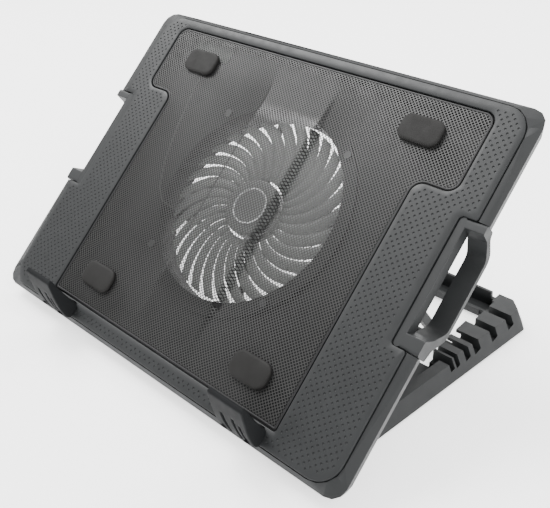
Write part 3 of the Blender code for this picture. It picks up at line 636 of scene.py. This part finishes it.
def blade_faces(start):
    """Return the faces of one blade whose two layers of points begin at an index."""
    row = BLADE_CHORDS + 1
    count = (BLADE_STEPS + 1) * row
    faces = []
    for i in range(BLADE_STEPS):
        for j in range(BLADE_CHORDS):
            a = start + i * row + j
            faces.append((a, a + 1, a + row + 1, a + row))
            faces.append((a + count, a + count + row, a + count + row + 1, a + count + 1))
    border = ([(i, 0) for i in range(BLADE_STEPS)]
              + [(BLADE_STEPS, j) for j in range(BLADE_CHORDS)]
              + [(i, BLADE_CHORDS) for i in range(BLADE_STEPS, 0, -1)]
              + [(0, j) for j in range(BLADE_CHORDS, 0, -1)])
    loop = [start + i * row + j for i, j in border]
    for a, b in zip(loop, loop[1:] + loop[:1]):
        faces.append((a, b, b + count, a + count))
    return faces


def turned(line, closed):
    """Return the points and faces of a line of (radius, height) turned round the fan's axis."""
    return loft([lift(circle(radius, HUB_SIDES), z) for radius, z in line], closed=closed)


def make_fan():
    """Make the swept, pitched blades, the hub, its disc and its pale ring."""
    fan = TRAY @ Matrix.Translation((0, FAN_Y, 0))
    points, faces = [], []
    for index in range(BLADES):
        faces += blade_faces(len(points))
        points += blade_layer(index, 0.0) + blade_layer(index, BLADE_THICK)
    add_even("fan_blades", points, faces, BLADE, "fan", "fan_plastic", ["fan_rotor"], fan)
    cup = [(FAN_HUB - 2, -30), (FAN_HUB, -30), (FAN_HUB, -18.2), (FAN_HUB - 0.5, -17.2),
           (FAN_HUB - 1.8, HUB_TOP), (16.2, HUB_TOP), (15.6, HUB_TOP - 0.5),
           (14.9, HUB_TOP - 0.5), (14.5, HUB_TOP), (9.0, HUB_TOP + 0.05), (3.0, HUB_TOP + 0.05),
           (3.0, HUB_TOP - 1.8), (FAN_HUB - 2.4, HUB_TOP - 1.8), (FAN_HUB - 2, -19)]
    points, faces = turned(cup, True)
    add_even("fan_hub", points, faces, BLADE, "fan", "fan_plastic", (), fan)
    disc = [(14.2, HUB_TOP + 0.35), (14.2, HUB_TOP + 0.8), (13.8, HUB_TOP + 1.1),
            (12.2, HUB_TOP + 1.1), (11.7, HUB_TOP + 0.8), (4.0, HUB_TOP + 0.75)]
    points, faces = turned(disc, False)
    add_even("fan_hub_disc", points, faces, BLADE, "fan", "fan_plastic", ["fan_hub_cap"], fan)
    band = [(14.3, HUB_TOP + 0.2), (15.5, HUB_TOP + 0.2), (15.5, HUB_TOP + 1.0),
            (15.2, HUB_TOP + 1.3), (14.6, HUB_TOP + 1.3), (14.3, HUB_TOP + 1.0)]
    points, faces = turned(band, True)
    add_piece("fan_hub_ring", points, faces, HUB_RING, "fan", "fan_plastic", (), fan)


# ---------------------------------------------------------------- stops

def stop_profile():
    """Return the stop's side outline as a front line and a rear line, both going up."""
    front = [(-9.6, -3.6), (-10.4, -1.5), (-10.3, 1.5), (-9.3, 4.5), (-7.8, 8.5), (-6.0, 12.5),
             (-3.9, 16.8), (-1.6, 21.0), (1.2, 26.0), (4.2, 31.0), (6.2, 34.2), (7.3, STOP_TOP)]
    rear = [(1.2, -3.8), (2.6, -2.6), (3.4, 0.0), (3.9, 3.4), (4.6, 8.5), (6.0, 15.0), (7.8, 22.0),
            (9.4, 28.5), (10.7, 33.6), (10.2, STOP_TOP)]
    return front, rear


def slot_depth(x, z):
    """Return how deep the stop's front is cut at a place, for its curved slots."""
    depth = 0.0
    for centre, top, wide in SLOTS:
        middle = centre + 3.2 * (1 - smooth_step(z, -4.0, top + 6.0))
        across = 1 - smooth_step(abs(x - middle), wide * 0.6, wide)
        along = smooth_step(z, -0.5, 3.0) * (1 - smooth_step(z, top - 4.0, top))
        depth = max(depth, SLOT_DEPTH * across * along)
    return depth


def make_stops():
    """Make the two flip-up stops with their scooped, slotted fronts."""
    front, rear = stop_profile()
    fine = []
    for a, b in zip(front, front[1:]):
        for step in range(3):
            share = step / 3
            fine.append((a[0] + (b[0] - a[0]) * share, a[1] + (b[1] - a[1]) * share))
    fine.append(front[-1])
    half = STOP_WIDTH / 2
    for side in ("left", "right"):
        place = (Matrix.Translation(Vector(JOINTS[f"stop_{side}_fold"]["pos_m"]))
                 @ Matrix.Rotation(TILT, 4, "X") @ SCALE)
        rings = []
        for column in range(STOP_COLUMNS + 1):
            x = -half + STOP_WIDTH * column / STOP_COLUMNS
            edge = 0.8 * (1 - smooth_step(half - abs(x), 0.0, 1.0))
            floor = EAR_TOP if abs(abs(x) - EAR_OFFSET) < EAR_SLOT else STOP_LOW
            line = [(y + slot_depth(x, z) + edge, z) for y, z in fine]
            line += [(y - edge, z) for y, z in reversed(rear)]
            rings.append([(x, y, max(floor, min(z, STOP_TOP - edge))) for y, z in line])
        points, faces = loft(rings)
        add_even(f"front_stop_{side}_skin", points, faces, STOP, f"stop_{side}",
                 "dark_plastic", [f"front_stop_{side}"], place)


# ---------------------------------------------------------------- feet, sockets

def make_feet():
    """Make the base's rubber feet with a turned edge and a shallow ring."""
    for row in ("front", "rear"):
        for side in ("left", "right"):
            node = f"base_foot_{row}_{side}"
            low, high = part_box(node)
            centre = (low + high) / 2
            radius = (high.x - low.x) / 2 / MM
            tall = (high.z - low.z) / MM
            line = [(radius, tall), (radius, 0.5), (radius - 0.5, 0.0), (radius - 2.2, 0.0),
                    (radius - 2.6, 0.35), (radius - 3.2, 0.35), (radius - 3.6, 0.0), (1.5, 0.0)]
            rings = [lift(circle(r, 40), z) for r, z in line]
            points, faces = loft(rings)
            here = Matrix.Translation((centre.x, centre.y, low.z)) @ SCALE
            foot = add_even(f"{node}_skin", points, faces, RUBBER, "base", "pad_rubber", [node],
                            here)


def make_tongues():
    """Make the plastic tongue inside each USB socket."""
    for index, x in ((1, -132.0), (2, -108.0)):
        corners = [(x - 5.2, -7.4, 0.4), (x + 5.2, -7.4, 0.4), (x + 5.2, -5.6, 0.4),
                   (x - 5.2, -5.6, 0.4)]
        outline = rounded(corners, 3)
        rings = [[(p.x, y, p.y) for p in outline] for y in (258.6, 262.0, 266.0, 270.2)]
        points, faces = loft(rings)
        add_piece(f"usb_tongue_{index}", points, faces, TONGUE, "tray", "bright_steel")


# ---------------------------------------------------------------- stage

def area_light(name, place, power):
    """Add a soft square light aimed at the pad."""
    lamp = bpy.data.lights.new(name, "AREA")
    lamp.shape = "SQUARE"
    lamp.size = LIGHT_SIZE
    lamp.energy = power
    light = bpy.data.objects.new(name, lamp)
    light.location = place
    light.rotation_euler = (Vector(LIGHT_AIM) - Vector(place)).to_track_quat("-Z", "Y").to_euler()
    bpy.context.scene.collection.objects.link(light)


def make_stage():
    """Make the pale floor, the lights and the surrounding light."""
    mesh = bpy.data.meshes.new("floor")
    mesh.from_pydata([(x * FLOOR_REACH, y * FLOOR_REACH, 0)
                      for x, y in ((-1, -1), (1, -1), (1, 1), (-1, 1))], [], [(0, 1, 2, 3)])
    pale = moulded("pale_floor", (0.88, 0.88, 0.88), 0.7, 300.0, 0.02, 0.01)
    surface = pale.node_tree.nodes["Principled BSDF"]
    surface.inputs["Emission Color"].default_value = (1, 1, 1, 1)
    surface.inputs["Emission Strength"].default_value = 1.3
    mesh.materials.append(pale)
    floor = bpy.data.objects.new("floor", mesh)
    floor.location.z = -FLOOR_DROP
    bpy.context.scene.collection.objects.link(floor)
    world = bpy.data.worlds.new("studio")
    world.use_nodes = True
    world.node_tree.nodes["Background"].inputs["Color"].default_value = (1, 1, 1, 1)
    world.node_tree.nodes["Background"].inputs["Strength"].default_value = 1.2
    bpy.context.scene.world = world
    area_light("key", (-1.1, 0.1, 1.7), 75)
    area_light("fill", (1.3, -0.5, 1.3), 30)
    area_light("back", (0.1, 1.5, 1.3), 30)


def make_camera():
    """Place the camera where the photograph was taken from."""
    data = bpy.data.cameras.new("camera")
    data.sensor_width = SENSOR_WIDTH
    data.lens = CAMERA_LENS
    camera = bpy.data.objects.new("camera", data)
    camera.location = CAMERA_PLACE
    camera.rotation_euler = [math.radians(angle) for angle in CAMERA_TURN]
    bpy.context.scene.collection.objects.link(camera)
    bpy.context.scene.camera = camera


make_camera()
finish_cad_nodes()
# the shell's inner faces in the hollow get painted shade
paint_hollow_shade(rounded_copy("tray_shell", SHELL, 0.9, slope_border, on_rim))
make_frame()
make_panel()
make_pads()
for handle in ("side_handle_left", "side_handle_right"):
    rounded_copy(handle, SHELL, 1.0, draw_ends_in)
rounded_copy("fan_housing", HOUSING, 0.4)
make_fan()
make_stops()
rounded_copy("prop_leg", SHELL, 0.8)
rounded_copy("base_frame", SHELL, 0.7)
make_feet()
make_tongues()
make_stage()
